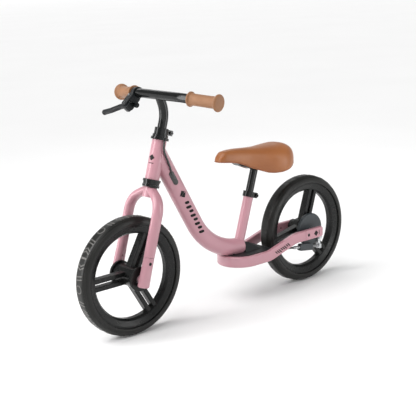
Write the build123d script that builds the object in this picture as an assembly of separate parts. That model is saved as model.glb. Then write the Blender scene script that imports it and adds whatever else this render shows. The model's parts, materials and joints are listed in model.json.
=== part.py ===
from build123d import *
import os
from math import cos, pi, radians, sin

# Child's balance bike. X forward, Y to the rider's left, Z up, origin on the ground between the wheels.

# Driving dimensions, millimetres and degrees
WHEELBASE = 571.0
TYRE_R = 142.0
TYRE_HALF_W = 20.5
TYRE_HALF_H = 16.0
TYRE_CORNER_R = 14.0
RIM_R = 123.0
WINDOW_R = 101.0
HUB_R = 24.0
HUB_CAP_R = 29.0
FRONT_HUB_HALF = 42.0
REAR_HUB_HALF = 37.0
REAR_HUB_R = 17.0
SPOKE_OFFSET = 9.5
SPOKE_W = 11.0
SPOKE_D = 20.0
FRONT_SPOKE_TURN = 0.0
REAR_SPOKE_TURN = -11.0

HEAD_BOTTOM = (206.7, 0.0, 357.0)
HEAD_TILT = 17.6
HEAD_LEN = 93.0
HEAD_R = 17.0
STEERER_R = 12.7
POST_R = 11.0
SLIDE_FIT = 0.05
SEAM_GAP = 0.7

LEG_Y = 54.0
LEG_FORWARD = 8.0
LEG_A = 13.6
LEG_B = 10.0
LEG_FOOT_A = 15.6
LEG_FOOT_B = 10.5
LEG_END = -246.5
LEG_SEAM = -175.0
COVER_Y = LEG_Y + 1.0

DOWN_TOP = (190.0, 0.0, 422.0)
DOWN_CORNER = (39.8, 0.0, 140.0)
DOWN_END_X = -62.0
DOWN_BEND_R = 165.0
DOWN_A = 22.0
DOWN_B = 19.0
WALL = 2.2

SEAT_BASE = (-53.4, 0.0, 140.0)
SEAT_TILT = 18.4
SEAT_TUBE_LEN = 137.5
SEAT_TUBE_R = 12.5
SEAT_POST_R = 10.0
SEAT_POST_LOW = 55.0
SEAT_POST_TOP = 218.0

STAY_OUT = 58.0
STAY_IN = 46.0
STAY_H = 27.0
STAY_FRONT_Z = 111.5
STAY_REAR_Z = 138.0
STAY_FRONT_X = 0.0
STAY_REAR_X = -305.0
STAY_COVER_X = -239.0
STAY_PLATE_OUT = 50.0

AXLE_R = 4.0
BEARING_R = 11.0
BEARING_W = 7.0

BAR_CENTRE = (172.9, 0.0, 549.0)
BAR_HALF = 185.0
BAR_FLAT = 72.8
BAR_SWEEP = 0.22
BAR_DROP = 0.07
BAR_R = 11.0
GRIP_LEN = 84.6

DRUM_R = 34.0
BRAKE_COVER_R = 43.0
BRAKE_COVER_Y = 31.0
BRAKE_COVER_BACK = 22.5
ANCHOR_FRONT = (-235.0, 36.0, 104.0)
ANCHOR_TILT = 8.6
ANCHOR_LEN = 48.0
ADJUSTER_LEN = 22.0
CABLE_R = 2.5
CABLE_ROOM = 0.4

LEVER_Y = -89.0
LEVER_PIVOT = 38.0
LEVER_TIP = (70.0, 8.0, 84.0)
LEVER_SLOT = 15.0
LEVER_ROOT = 14.4

FRONT_HUB = (WHEELBASE / 2, 0.0, TYRE_R)
REAR_HUB = (-WHEELBASE / 2, 0.0, TYRE_R)

STEER_UP = (-sin(radians(HEAD_TILT)), 0.0, cos(radians(HEAD_TILT)))
STEER_FWD = (cos(radians(HEAD_TILT)), 0.0, sin(radians(HEAD_TILT)))
SEAT_UP = (-sin(radians(SEAT_TILT)), 0.0, cos(radians(SEAT_TILT)))
SEAT_FWD = (cos(radians(SEAT_TILT)), 0.0, sin(radians(SEAT_TILT)))


def steer(up, forward=0.0, side=0.0):
    """Point at a distance up the steering axis, ahead of it and to the left."""
    return Vector(HEAD_BOTTOM) + Vector(STEER_UP) * up + Vector(STEER_FWD) * forward + Vector(0, side, 0)


def seat(up, forward=0.0, side=0.0):
    """Point at a distance up the seat tube's axis, ahead of it and to the left."""
    return Vector(SEAT_BASE) + Vector(SEAT_UP) * up + Vector(SEAT_FWD) * forward + Vector(0, side, 0)


def steer_plane(up, forward=0.0, side=0.0):
    return Plane(origin=steer(up, forward, side), x_dir=STEER_FWD, z_dir=STEER_UP)


def seat_plane(up):
    return Plane(origin=seat(up), x_dir=SEAT_FWD, z_dir=SEAT_UP)


def rod(plane, radius, length):
    """Cylinder that starts on a plane and runs along its normal."""
    return plane * Cylinder(radius, length, align=(Align.CENTER, Align.CENTER, Align.MIN))


def ring(plane, outer, inner, length):
    return rod(plane, outer, length) - rod(plane.offset(-1.0), inner, length + 2.0)


def across(x, z, y):
    """Plane at a point, with its normal along +Y."""
    return Plane(origin=(x, y, z), x_dir=(1, 0, 0), z_dir=(0, 1, 0))


def block(x0, x1, y0, y1, z0, z1):
    size = Box(x1 - x0, y1 - y0, z1 - z0)
    return Pos((x0 + x1) / 2, (y0 + y1) / 2, (z0 + z1) / 2) * size


def hexagon(plane, flats, length):
    sketch = plane * RegularPolygon(flats / 2, 6, major_radius=False)
    return extrude(sketch, amount=length)


def mirrored(shape):
    return mirror(shape, about=Plane.XZ)


def save(name, shape):
    shape.label = name
    export_step(shape, "parts/" + name + ".step")


# ---------------------------------------------------------------- frame

def down_path():
    end = (DOWN_END_X, 0.0, DOWN_CORNER[2])
    return FilletPolyline([DOWN_TOP, DOWN_CORNER, end], radius=DOWN_BEND_R)


def down_tube(inset):
    path = down_path()
    start = Plane(origin=path @ 0, x_dir=(0, 1, 0), z_dir=path % 0)
    return sweep(start * Ellipse(DOWN_B - inset, DOWN_A - inset), path)


def frame_outside():
    head = rod(steer_plane(0), HEAD_R, HEAD_LEN)
    tube = rod(seat_plane(0), SEAT_TUBE_R, SEAT_TUBE_LEN)
    ahead = steer_plane(0, -1.0) * Box(60, 60, 200, align=(Align.MIN, Align.CENTER, Align.MIN))
    return down_tube(0.0) - ahead + head + tube


def frame():
    body = frame_outside() - down_tube(WALL)
    body += rod(steer_plane(0), HEAD_R, HEAD_LEN)
    body += rod(seat_plane(6.0), SEAT_TUBE_R, SEAT_TUBE_LEN - 6.0)
    end_x = DOWN_END_X
    body += across_x(end_x, DOWN_A - 0.5, DOWN_B - 0.5, WALL)
    body -= rod(steer_plane(-5.0), STEERER_R + 1.3, HEAD_LEN + 10.0)
    body -= rod(seat_plane(0.0), SEAT_POST_R + SLIDE_FIT, SEAT_TUBE_LEN + 5.0)
    return body - cable_tube(CABLE_R + CABLE_ROOM)


def across_x(x, a, b, thick):
    """Elliptical plate square to X, closing the rear end of the down tube."""
    plane = Plane(origin=(x, 0, DOWN_CORNER[2]), x_dir=(0, 1, 0), z_dir=(1, 0, 0))
    return extrude(plane * Ellipse(b, a), amount=thick)


# ---------------------------------------------------------------- brake cable route

CABLE_PORT = (93.0, 2.0, 21.5)


def brake_line(x, z=0.0, y=0.0):
    """Point in the tilted frame of the brake's arm housing: x forward from its front face."""
    place = Pos(*ANCHOR_FRONT) * Rot(0, -ANCHOR_TILT, 0)
    return (place * Pos(x, y, z)).position


def cable_points():
    """Centre line of the outer cable, from the headset to the brake's adjuster."""
    return [
        tuple(steer(*CABLE_PORT)),
        tuple(steer(CABLE_PORT[0] - 20, *CABLE_PORT[1:])),
        (177.5, 22.6, 404.0),
        (168.0, 22.8, 378.0),
        (155.5, 13.5, 351.0),
        (136.0, 6.0, 316.0),
        (112.0, 4.0, 272.0),
        (84.0, 5.0, 226.0),
        (48.0, 8.0, 180.0),
        (10.0, 9.5, 152.0),
        (-18.0, 10.0, 136.0),
        (-44.0, 14.0, 112.0),
        (-72.0, 22.0, 99.0),
        (-106.0, 31.0, 98.5),
        (-143.0, 36.0, 106.5),
        tuple(brake_line(ADJUSTER_LEN + 33.0)),
        tuple(brake_line(ADJUSTER_LEN)),
    ]


def bend_radii(points):
    """0.45 of the shorter run beside each corner, over the tangent of half its turn."""
    radii = []
    for before, here, after in zip(points, points[1:], points[2:]):
        run_in = Vector(here) - Vector(before)
        run_out = Vector(after) - Vector(here)
        half_turn = radians(run_in.get_angle(run_out)) / 2
        radii.append(0.45 * min(run_in.length, run_out.length) * cos(half_turn) / sin(half_turn))
    return radii


def cable_tube(radius):
    points = cable_points()
    path = FilletPolyline(points, radius=bend_radii(points))
    start = Plane(origin=path @ 0, z_dir=path % 0)
    return sweep(start * Circle(radius), path)


def brake_cable():
    tube = cable_tube(CABLE_R)
    length = tube.volume / (pi * CABLE_R**2)
    print("cable length", round(length), "radii", [round(r) for r in bend_radii(cable_points())])
    return tube


def cable_grommet():
    """Oval rubber plug round the cable's way into the down tube."""
    plane = Plane(origin=(157.5, 0, 354.5), x_dir=(0.47, 0, 0.883), z_dir=(0.0, 1, 0))
    slug = extrude(plane * SlotOverall(38.0, 13.0), amount=30.0)
    shell = down_tube(-1.2) - down_tube(0.0)
    return (slug & shell) - cable_tube(CABLE_R + CABLE_ROOM)


# ---------------------------------------------------------------- stays and footrest

def stay_side():
    """Side outline of the stay band, as a face in the XZ plane."""
    half = STAY_H / 2
    low, high = STAY_FRONT_Z, STAY_REAR_Z
    path = FilletPolyline(
        [(STAY_FRONT_X + 5, 0, low), (-112, 0, low), (-205, 0, high), (STAY_REAR_X, 0, high)],
        radius=70.0,
    )
    start = Plane(origin=path @ 0, x_dir=(0, 1, 0), z_dir=path % 0)
    return sweep(start * Rectangle(4 * STAY_OUT, 2 * half), path)


def stay_plan(half_width, front):
    """Plan outline with a round front, as a tall solid."""
    centre = front - half_width
    rear = STAY_REAR_X - 20
    flat = Rectangle(centre - rear, 2 * half_width)
    sketch = Pos((centre + rear) / 2, 0) * flat + Pos(centre, 0) * Circle(half_width)
    return extrude(sketch, amount=300)


def rear_stay_loop():
    band = stay_plan(STAY_OUT, STAY_FRONT_X) - stay_plan(STAY_IN, STAY_FRONT_X - STAY_OUT + STAY_IN)
    band &= stay_side()
    band = fillet(band.edges().filter_by(lambda e: e.length > 20), 3.0)
    band -= frame_outside()
    band += wheel_boss(REAR_HUB, -1, REAR_HUB_HALF + 0.3, STAY_IN + 1.0)
    for side in (1, -1):
        y0, y1 = sorted((side * STAY_PLATE_OUT, side * (STAY_OUT + 5)))
        band -= block(STAY_REAR_X - 5, STAY_COVER_X, y0, y1, 100, 170)
        band -= rod(across(REAR_HUB[0], TYRE_R, side * STAY_OUT - 30), AXLE_R, 60)
        band -= rod(across(STAY_COVER_X - 12, STAY_REAR_Z, side * STAY_OUT - 30), 2.0, 60)
    return band


def stay_cover(side):
    """Plastic cap over the axle nut at the end of a stay."""
    y0, y1 = sorted((side * STAY_PLATE_OUT, side * STAY_OUT))
    half = STAY_H / 2
    body = block(STAY_REAR_X, STAY_COVER_X - SEAM_GAP, y0, y1, STAY_REAR_Z - half, STAY_REAR_Z + half)
    body = fillet(body.edges().filter_by(Axis.Y).group_by(Axis.X)[0], 7.0)
    outer = body.faces().sort_by(Axis.Y)[-1 if side > 0 else 0]
    body = fillet(outer.edges(), 2.5)
    pocket_y = min(side * (STAY_PLATE_OUT - 1), side * (STAY_OUT - 1.5))
    body -= rod(across(REAR_HUB[0], TYRE_R, pocket_y), 9.0, 7.5)
    screw_x = STAY_COVER_X - 12
    body -= rod(across(screw_x, STAY_REAR_Z, side * STAY_OUT - 30), 2.0, 60)
    body -= rod(across(screw_x, STAY_REAR_Z, min(side * (STAY_OUT - 3), side * (STAY_OUT + 3))), 4.2, 6)
    return body


def cover_screw(x, z, y_face, side, grip):
    """Socket screw with its head sunk 3 mm into a cover."""
    head = rod(across(x, z, min(side * (y_face - 3), side * (y_face - 0.4))), 4.0, 2.6)
    shank = rod(across(x, z, min(side * (y_face - 3), side * (y_face - 3 - grip))), 2.0, grip)
    socket = hexagon(across(x, z, min(side * (y_face - 2), side * (y_face + 0.1))), 2.5, 2.1)
    return head + shank - socket


def footrest():
    """Plastic foot platform between the stays, with a raised spine behind the down tube."""
    top = STAY_FRONT_Z + STAY_H / 2 + 1.0
    bottom = STAY_FRONT_Z - 2.0
    rear = -134.0
    plan = stay_plan(STAY_IN, STAY_FRONT_X - STAY_OUT + STAY_IN)
    plate = plan & block(rear, 40, -80, 80, bottom, top)
    plate = fillet(plate.edges().filter_by(Axis.Y).group_by(Axis.Z)[-1], 5.0)
    low = Plane(origin=(-86, 0, top)) * Rectangle(54, 46)
    high = Plane(origin=(-72, 0, top + 22)) * Rectangle(8, 16)
    spine = loft([low.face(), high.face()])
    lip = block(rear + 4, -112, -40, 40, top - 8, top)
    body = plate + spine + lip
    body -= down_tube(-0.3)
    body -= rod(seat_plane(0), SEAT_TUBE_R + 0.3, 60)
    body -= hollow_under(bottom, top)
    body -= cable_tube(CABLE_R + CABLE_ROOM)
    body -= rod(Plane(origin=(-104, 0, bottom - 5)), 2.0, 20)
    return body


def hollow_under(bottom, top):
    """Space under the platform, which is a ribbed shell."""
    pocket = block(-128, -30, -40, 40, bottom - 1, top - 5)
    ribs = block(-128, -30, -5.0, 5.0, bottom - 2, top)
    ribs += block(-70, -50, -40, 40, bottom - 2, top)
    return pocket - ribs - down_tube(3.0)


def footrest_screw():
    head = rod(Plane(origin=(-104, 0, STAY_FRONT_Z - 5)), 4.0, 3.0)
    shank = rod(Plane(origin=(-104, 0, STAY_FRONT_Z - 2)), 2.0, 12.0)
    return head + shank


# ---------------------------------------------------------------- seat

def seat_clamp():
    collar = ring(seat_plane(SEAT_TUBE_LEN - 10), SEAT_TUBE_R + 3.0, SEAT_TUBE_R, 14.0)
    lip = ring(seat_plane(SEAT_TUBE_LEN), SEAT_TUBE_R + 3.0, SEAT_POST_R + 0.4, 4.0)
    plane = seat_plane(SEAT_TUBE_LEN - 10)
    lug = plane * Pos(-18.5, 0, 7.0) * Box(9, 16, 14)
    slot = plane * Pos(-18.0, 0, 7.0) * Box(14, 2.0, 16)
    body = collar + lip + (lug - rod(plane.offset(-1), SEAT_TUBE_R, 16)) - slot
    return body - clamp_bore(plane, -19.0, 7.0, 2.6)


def clamp_bore(plane, x, z, radius):
    centre = plane.from_local_coords((x, 0, z))
    return rod(across(centre.X, centre.Z, -20), radius, 40)


def clamp_bolt(plane, x, z, half):
    centre = plane.from_local_coords((x, 0, z))
    shank = rod(across(centre.X, centre.Z, -half), 2.5, 2 * half)
    head = rod(across(centre.X, centre.Z, half), 4.2, 4.0)
    socket = hexagon(across(centre.X, centre.Z, half + 2), 3.0, 3.0)
    nut = hexagon(across(centre.X, centre.Z, -half - 3.5), 8.0, 3.5)
    return shank + head + nut - socket


def seat_post():
    length = SEAT_POST_TOP - SEAT_POST_LOW
    return ring(seat_plane(SEAT_POST_LOW), SEAT_POST_R, SEAT_POST_R - 1.8, length)


SADDLE_PLAN = [(7, 0), (3, 12), (-14, 19), (-50, 23), (-85, 31), (-125, 46), (-155, 58), (-182, 62),
               (-208, 50), (-226, 26), (-232, 0)]
SADDLE_TOP = [(6, 368), (2, 381), (-9, 391), (-50, 391), (-120, 385.5), (-160, 386), (-195, 387.5),
              (-218, 380), (-232, 364)]
SADDLE_LOW = [(-232, 355), (-218, 341), (-198, 328), (-165, 320), (-128, 322), (-82, 340), (-45, 357), (5, 365)]
SADDLE_CLAMP_SIDE = [(-47, 357), (-62, 346), (-92, 338), (-136, 335), (-142, 340), (-142, 354), (-47, 362)]


def side_slab(points, half_width):
    """Side outline in X and Z, thickened both ways from the middle plane."""
    outline = Polyline(*[(x, 0, z) for x, z in points], close=True)
    return extrude(make_face(outline), amount=half_width, both=True)


def saddle_plan(shrink, z0, height):
    """Plan outline of the saddle, drawn in from its edge, as a tall solid."""
    left = [(x * shrink - 104 * (1 - shrink), y * shrink) for x, y in SADDLE_PLAN]
    right = [(x, -y) for x, y in reversed(left[1:-1])]
    face = make_face(Spline(*left, *right, periodic=True).edges())
    return extrude(Pos(0, 0, z0) * face, amount=height)


def saddle_recess(low, high):
    """Layer of the saddle's underside, between two heights above its lower outline."""
    under = [(x, z + low) for x, z in SADDLE_LOW]
    over = [(x, z + high) for x, z in reversed(SADDLE_LOW)]
    return saddle_plan(0.84, 300, 100) & side_slab(under + over, 100)


def saddle():
    """Soft seat cushion: plan outline met by the side outline, hollowed for its pan and clamp."""
    body = saddle_plan(1.0, 300, 120) & side_slab(SADDLE_TOP + SADDLE_LOW, 100)
    body -= saddle_recess(-30.0, 6.0)
    clamp_room = [(x, z - 25) for x, z in SADDLE_CLAMP_SIDE[:4]] + [(-143, 315), (-143, 354.5), (-46, 362.5)]
    return body - side_slab(clamp_room, 14.5)


def saddle_pan():
    """Stiff plastic base let into the cushion's underside."""
    clamp_room = [(x, z - 25) for x, z in SADDLE_CLAMP_SIDE[:4]] + [(-143, 315), (-143, 354.5), (-46, 362.5)]
    return saddle_recess(2.0, 6.0) - side_slab(clamp_room, 14.5)


def saddle_clamp():
    """Black bracket under the cushion that grips the head of the post."""
    body = side_slab(SADDLE_CLAMP_SIDE, 14.0)
    body = fillet(body.edges().filter_by(lambda e: e.length > 30 and e.center().Z < 350), 2.5)
    return body - rod(seat_plane(150), SEAT_POST_R, SEAT_POST_TOP - 150)


# ---------------------------------------------------------------- fork and headset

def leg_path(side):
    start = steer(-20, 0, 0)
    knee = steer(-50, LEG_FORWARD, side * LEG_Y)
    end = steer(LEG_SEAM, LEG_FORWARD, side * LEG_Y)
    return FilletPolyline([start, knee, end], radius=46.0)


def leg_outside(side):
    path = leg_path(side)
    start = Plane(origin=path @ 0, x_dir=STEER_FWD, z_dir=path % 0)
    leg = sweep(start * Ellipse(LEG_A, LEG_B), path)
    seam = steer_plane(LEG_SEAM, LEG_FORWARD, side * LEG_Y) * Ellipse(LEG_A, LEG_B)
    sole = steer_plane(LEG_END, LEG_FORWARD, side * LEG_Y) * Ellipse(LEG_FOOT_A, LEG_FOOT_B)
    leg += loft([seam.face(), sole.face()])
    end = leg.faces().sort_by(Axis(HEAD_BOTTOM, STEER_UP))[0]
    return fillet(end.edges(), 5.0)


def wheel_boss(hub, side, y_in, y_out):
    """Round boss inside a leg or stay that spaces it off the wheel's bearing."""
    return rod(across(hub[0], hub[2], min(side * y_in, side * y_out)), 8.0, y_out - y_in)


def below(up, y0, y1):
    """Box below a height on the steering axis, between two sideways limits."""
    plane = steer_plane(up)
    box = Box(120, y1 - y0, 120, align=(Align.CENTER, Align.CENTER, Align.MAX))
    return plane * Pos(0, (y0 + y1) / 2, 0) * box


def fork():
    body = leg_outside(1) + leg_outside(-1)
    body += rod(steer_plane(-42), STEERER_R + 2.8, 24.0)
    body -= rod(steer_plane(-18), 60.0, 80.0)
    body += rod(steer_plane(-20), STEERER_R, 141.0)
    for side in (1, -1):
        body += wheel_boss(FRONT_HUB, side, FRONT_HUB_HALF + 0.3, LEG_Y - 4.0)
        y0, y1 = sorted((side * COVER_Y, side * (LEG_Y + 30)))
        body -= below(LEG_SEAM, y0, y1)
        screw = steer(LEG_SEAM - 14, LEG_FORWARD, 0)
        body -= rod(across(screw.X, screw.Z, side * LEG_Y - 30), 2.0, 60)
        body -= rod(across(FRONT_HUB[0], TYRE_R, side * LEG_Y - 30), AXLE_R, 60)
    body -= rod(steer_plane(-12), POST_R + SLIDE_FIT, 150.0)
    return body


def fork_cover(side):
    """Plastic cap over the axle nut at the foot of a fork leg."""
    y0, y1 = sorted((side * COVER_Y, side * (LEG_Y + 30)))
    body = leg_outside(side) & below(LEG_SEAM - SEAM_GAP, y0, y1)
    face = LEG_Y + LEG_B
    body -= rod(across(FRONT_HUB[0], TYRE_R, min(side * (COVER_Y - 1), side * (face - 3))), 8.5, face - 2 - COVER_Y)
    screw = steer(LEG_SEAM - 14, LEG_FORWARD, 0)
    body -= rod(across(screw.X, screw.Z, side * LEG_Y - 30), 2.0, 60)
    body -= rod(across(screw.X, screw.Z, min(side * (face - 3), side * (face + 3))), 4.2, 6)
    return body


def lower_cup():
    """Cup pressed into the head tube's lower end, with its narrower seal below."""
    cup = ring(steer_plane(-6), 21.0, STEERER_R + SLIDE_FIT, 6.0)
    seal = ring(steer_plane(-12), 19.5, STEERER_R + SLIDE_FIT, 6.0)
    return cup + seal


def crown_race():
    return ring(steer_plane(-18), 20.5, STEERER_R, 5.6)


def upper_cup():
    """Fixed cup on the head tube, with the port that lets the brake cable out on its left."""
    body = ring(steer_plane(HEAD_LEN), 21.2, STEERER_R + SLIDE_FIT, 6.0)
    return body + rod(steer_plane(*CABLE_PORT), 4.5, 6.0) - rod(steer_plane(HEAD_LEN - 1), STEERER_R + SLIDE_FIT, 8.0)


def upper_race():
    return ring(steer_plane(HEAD_LEN + 6.3), 18.5, STEERER_R, 6.0)


def stem_clamp():
    """Collar that pinches the split steerer on the handlebar post."""
    plane = steer_plane(HEAD_LEN + 12.3)
    height = 17.0
    collar = ring(plane, STEERER_R + 3.6, STEERER_R, height - 1.0)
    lug = plane * Pos(-21.0, 0, 8.0) * Box(14, 17, 13)
    lug -= rod(plane.offset(-1), STEERER_R, height + 2)
    slot = plane * Pos(-20.0, 0, 8.0) * Box(20, 2.0, 22)
    body = collar + lug - slot
    return body - clamp_bore(plane, -22.5, 8.0, 2.6)


# ---------------------------------------------------------------- wheels

def rim_profile():
    half = 16.5
    points = [(WINDOW_R, -6), (WINDOW_R + 5, -12), (RIM_R - 5, -half), (RIM_R, -half),
              (RIM_R, half), (RIM_R - 5, half), (WINDOW_R + 5, 12), (WINDOW_R, 6)]
    return make_face(Polyline(*[(r, 0, y) for r, y in points], close=True))


def spoke_bars(turn):
    bars = []
    for spoke in range(3):
        for offset in (-SPOKE_OFFSET, SPOKE_OFFSET):
            bar = Pos((WINDOW_R + HUB_R) / 2 - 1, offset, 0) * Box(WINDOW_R - HUB_R + 14, SPOKE_W, SPOKE_D)
            bar = fillet(bar.edges().filter_by(Axis.X), 2.0)
            bars.append(Rot(0, 0, turn + 120 * spoke) * bar)
    return bars


def upright(shape, hub):
    """Stands a wheel part made about Z on its hub, with its axis along Y."""
    return Pos(*hub) * Rot(90, 0, 0) * shape


def wheel(turn):
    """Rim and three double spokes about Z, before the hub is added."""
    body = revolve(rim_profile(), Axis.Z)
    for bar in spoke_bars(turn):
        body += bar
    return body


def front_wheel():
    """One-piece wheel whose hub has a broad cap at each end."""
    flat = Plane.XY
    half = FRONT_HUB_HALF
    body = wheel(FRONT_SPOKE_TURN) + rod(flat.offset(-half), HUB_R, 2 * half)
    for low in (-half, half - BEARING_W):
        cap = rod(flat.offset(low), HUB_CAP_R, BEARING_W)
        body += fillet(cap.edges(), 1.5)
        body -= rod(flat.offset(low), BEARING_R, BEARING_W)
    body -= rod(flat.offset(-half), AXLE_R + 1.5, 2 * half)
    return upright(body, FRONT_HUB)


def rear_wheel():
    """One-piece wheel with a short left side, where the brake drum sits, and a slim right one."""
    flat = Plane.XY
    left = 10.0
    body = wheel(REAR_SPOKE_TURN) + rod(flat.offset(-left), HUB_R, left + 16.0)
    body += rod(flat, REAR_HUB_R, REAR_HUB_HALF)
    body -= rod(flat.offset(-left), AXLE_R + 1.5, left + REAR_HUB_HALF)
    body -= rod(flat.offset(-left), BEARING_R, BEARING_W)
    body -= rod(flat.offset(REAR_HUB_HALF - BEARING_W), BEARING_R, BEARING_W)
    return upright(body, REAR_HUB)


def tyre(hub):
    outline = RectangleRounded(2 * TYRE_HALF_H, 2 * TYRE_HALF_W, TYRE_CORNER_R)
    section = Plane.XZ * Pos(TYRE_R - TYRE_HALF_H, 0) * outline
    body = revolve(section, Axis.Z)
    body -= rod(Plane.XY.offset(-TYRE_HALF_W - 1), RIM_R, 2 * TYRE_HALF_W + 2)
    return upright(body, hub)


def bearing(hub, y0, y1):
    return ring(across(hub[0], hub[2], y0), BEARING_R, AXLE_R + SLIDE_FIT, y1 - y0)


def spacer(hub, y0, y1):
    return ring(across(hub[0], hub[2], y0), 7.0, AXLE_R, y1 - y0)


def axle(hub, half):
    body = rod(across(hub[0], hub[2], -half), AXLE_R, 2 * half)
    return chamfer(body.edges(), 0.8)


def axle_nut(hub, side, face):
    """Washer and hexagon nut, seated on a face at one end of the axle."""
    washer = ring(across(hub[0], hub[2], min(side * face, side * (face + 1))), 7.5, AXLE_R, 1.0)
    body = hexagon(across(hub[0], hub[2], min(side * (face + 1), side * (face + 5))), 13.0, 4.0)
    body -= rod(across(hub[0], hub[2], -90), AXLE_R, 180)
    return washer + body


# ---------------------------------------------------------------- rear brake

def brake_drum():
    web = ring(across(REAR_HUB[0], TYRE_R, 10.0), DRUM_R, 8.0, 3.0)
    wall = ring(across(REAR_HUB[0], TYRE_R, 13.0), DRUM_R, DRUM_R - 3.0, 13.0)
    return web + wall


def brake_band():
    """Steel band with its friction lining, round the drum, open at the bottom rear."""
    band = ring(across(REAR_HUB[0], TYRE_R, 13.0), DRUM_R + 3.2, DRUM_R + 0.6, 12.0)
    gap = Pos(REAR_HUB[0] - 30, 19, TYRE_R - 26) * Box(26, 14, 20)
    return band - gap


def brake_cover():
    """Fixed dish that closes the brake, held by the axle."""
    plane = across(REAR_HUB[0], TYRE_R, BRAKE_COVER_BACK)
    dish = rod(plane, BRAKE_COVER_R, BRAKE_COVER_Y - BRAKE_COVER_BACK)
    outer = dish.faces().sort_by(Axis.Y)[-1]
    dish = fillet(outer.edges(), 3.0)
    dish -= rod(plane.offset(-1), BRAKE_COVER_R - 2.5, BRAKE_COVER_Y - BRAKE_COVER_BACK - 0.5)
    dish -= rod(plane, 7.0, 30)
    dish -= rod(across(ARM_PIVOT[0], ARM_PIVOT[1], 10), 3.0, 40)
    return dish


ARM_PIVOT_LINE = (-76.0, 24.0)
ARM_PIVOT = (brake_line(*ARM_PIVOT_LINE).X, brake_line(*ARM_PIVOT_LINE).Z)
ARM_Y0 = BRAKE_COVER_Y + 0.3


def on_brake_line(shape):
    """Places a shape made with X forward and Z up in the tilted frame of the arm housing."""
    return Pos(ANCHOR_FRONT[0], 0, ANCHOR_FRONT[2]) * Rot(0, -ANCHOR_TILT, 0) * shape


def along_brake_line(x):
    return Plane(origin=(x, ANCHOR_FRONT[1], 0), z_dir=(1, 0, 0))


def brake_anchor():
    """Arm housing under the stay that holds the end of the outer cable."""
    body = block(-ANCHOR_LEN, 0, BRAKE_COVER_Y, 41.5, -9, 9)
    body = fillet(body.edges().filter_by(Axis.Y), 4.0)
    body -= rod(along_brake_line(-ANCHOR_LEN - 10), 2.0, ANCHOR_LEN + 20)
    return on_brake_line(body)


def cable_adjuster():
    body = rod(along_brake_line(0), 4.6, 4.0) + rod(along_brake_line(0), 3.4, ADJUSTER_LEN)
    body += rod(along_brake_line(8), 4.3, 9.0)
    return on_brake_line(body - rod(along_brake_line(-1), 1.2, ADJUSTER_LEN + 2))


def return_spring():
    """Coil spring between the housing and the arm, as its outer sleeve."""
    start = along_brake_line(ARM_PIVOT_LINE[0] + 5.0)
    return on_brake_line(ring(start, 4.0, 2.6, -ANCHOR_LEN - ARM_PIVOT_LINE[0] - 5.4))


def inner_wire():
    length = ADJUSTER_LEN - ARM_PIVOT_LINE[0] - 5.0
    return on_brake_line(rod(along_brake_line(ARM_PIVOT_LINE[0] + 4.8), 0.8, length))


def brake_arm():
    """Lever on the brake cover that tightens the band when its foot is pulled forward."""
    x, z = ARM_PIVOT_LINE
    eye = rod(across(x, z, ARM_Y0), 7.0, 5.0)
    foot = block(x - 5, x + 4.5, ARM_Y0, ARM_Y0 + 5.0, -6, z)
    pad = block(x - 5, x + 4.5, ARM_Y0, 41.0, -6, 6)
    body = eye + foot + fillet(pad.edges().filter_by(Axis.Y), 1.5)
    return on_brake_line(body - rod(across(x, z, ARM_Y0 - 5), 3.0 + SLIDE_FIT, 20))


def arm_pivot_bolt():
    x, z = ARM_PIVOT
    shank = rod(across(x, z, 27.0), 3.0, 11.0)
    head = hexagon(across(x, z, ARM_Y0 + 5.3), 10.0, 4.0)
    return shank + head


# ---------------------------------------------------------------- handlebar

def bar_points(trim=0.0):
    x, _, z = BAR_CENTRE
    run = BAR_HALF - BAR_FLAT - trim
    end = (x - BAR_SWEEP * run, BAR_FLAT + run, z - BAR_DROP * run)
    flat = (x, BAR_FLAT, z)
    return [(end[0], -end[1], end[2]), (flat[0], -flat[1], flat[2]), flat, end]


def bar_path(trim):
    return FilletPolyline(bar_points(trim), radius=110.0)


def handlebar():
    path = bar_path(4.0)
    start = Plane(origin=path @ 0, z_dir=path % 0)
    return sweep(start * Circle(BAR_R), path) - sweep(start * Circle(BAR_R - 2.0), path)


def post_path():
    low = steer(20)
    knee = steer(158)
    return FilletPolyline([low, knee, BAR_CENTRE], radius=70.0)


def handlebar_post():
    path = post_path()
    start = Plane(origin=path @ 0, x_dir=STEER_FWD, z_dir=path % 0)
    tube = sweep(start * Circle(POST_R), path) - sweep(start * Circle(POST_R - 2.0), path)
    bar = rod(Plane(origin=(BAR_CENTRE[0], -50, BAR_CENTRE[2]), z_dir=(0, 1, 0)), BAR_R + 0.03, 100)
    beyond = rod(Plane(origin=BAR_CENTRE, z_dir=path % 1), 30, 30)
    return tube - (bar + beyond)


def grip_plane():
    """Plane at the left grip's outer end, with its normal running inwards along the bar."""
    points = bar_points()
    return Plane(origin=points[3], z_dir=Vector(points[2]) - Vector(points[3]))


def grip():
    """Rubber grip for the left hand: round end bumper, barrel and inner flange."""
    r_end, r_barrel, r_flange = 20.0, 13.6, 17.5
    outline = [(0, 0), (16, 0), (r_end, 4), (r_end, 6.5), (16, 10.5), (r_barrel, 14), (r_barrel, GRIP_LEN - 6),
               (r_flange, GRIP_LEN - 4), (r_flange, GRIP_LEN), (BAR_R, GRIP_LEN), (BAR_R, 4), (0, 4)]
    face = make_face(Polyline(*[(r, 0, h) for r, h in outline], close=True))
    return grip_plane() * revolve(face, Axis.Z)


# ---------------------------------------------------------------- brake lever

def lever_plane():
    """Plane on the bar at the brake lever: z outwards to the right, x forward and down."""
    x, _, z = BAR_CENTRE
    run = -LEVER_Y - BAR_FLAT
    origin = (x - BAR_SWEEP * run, LEVER_Y, z - BAR_DROP * run)
    outward = Vector(-BAR_SWEEP, -1, -BAR_DROP).normalized()
    down = Vector(0.72, 0, -0.69)
    down = (down - outward * down.dot(outward)).normalized()
    return Plane(origin=origin, x_dir=down, z_dir=outward)


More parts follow.
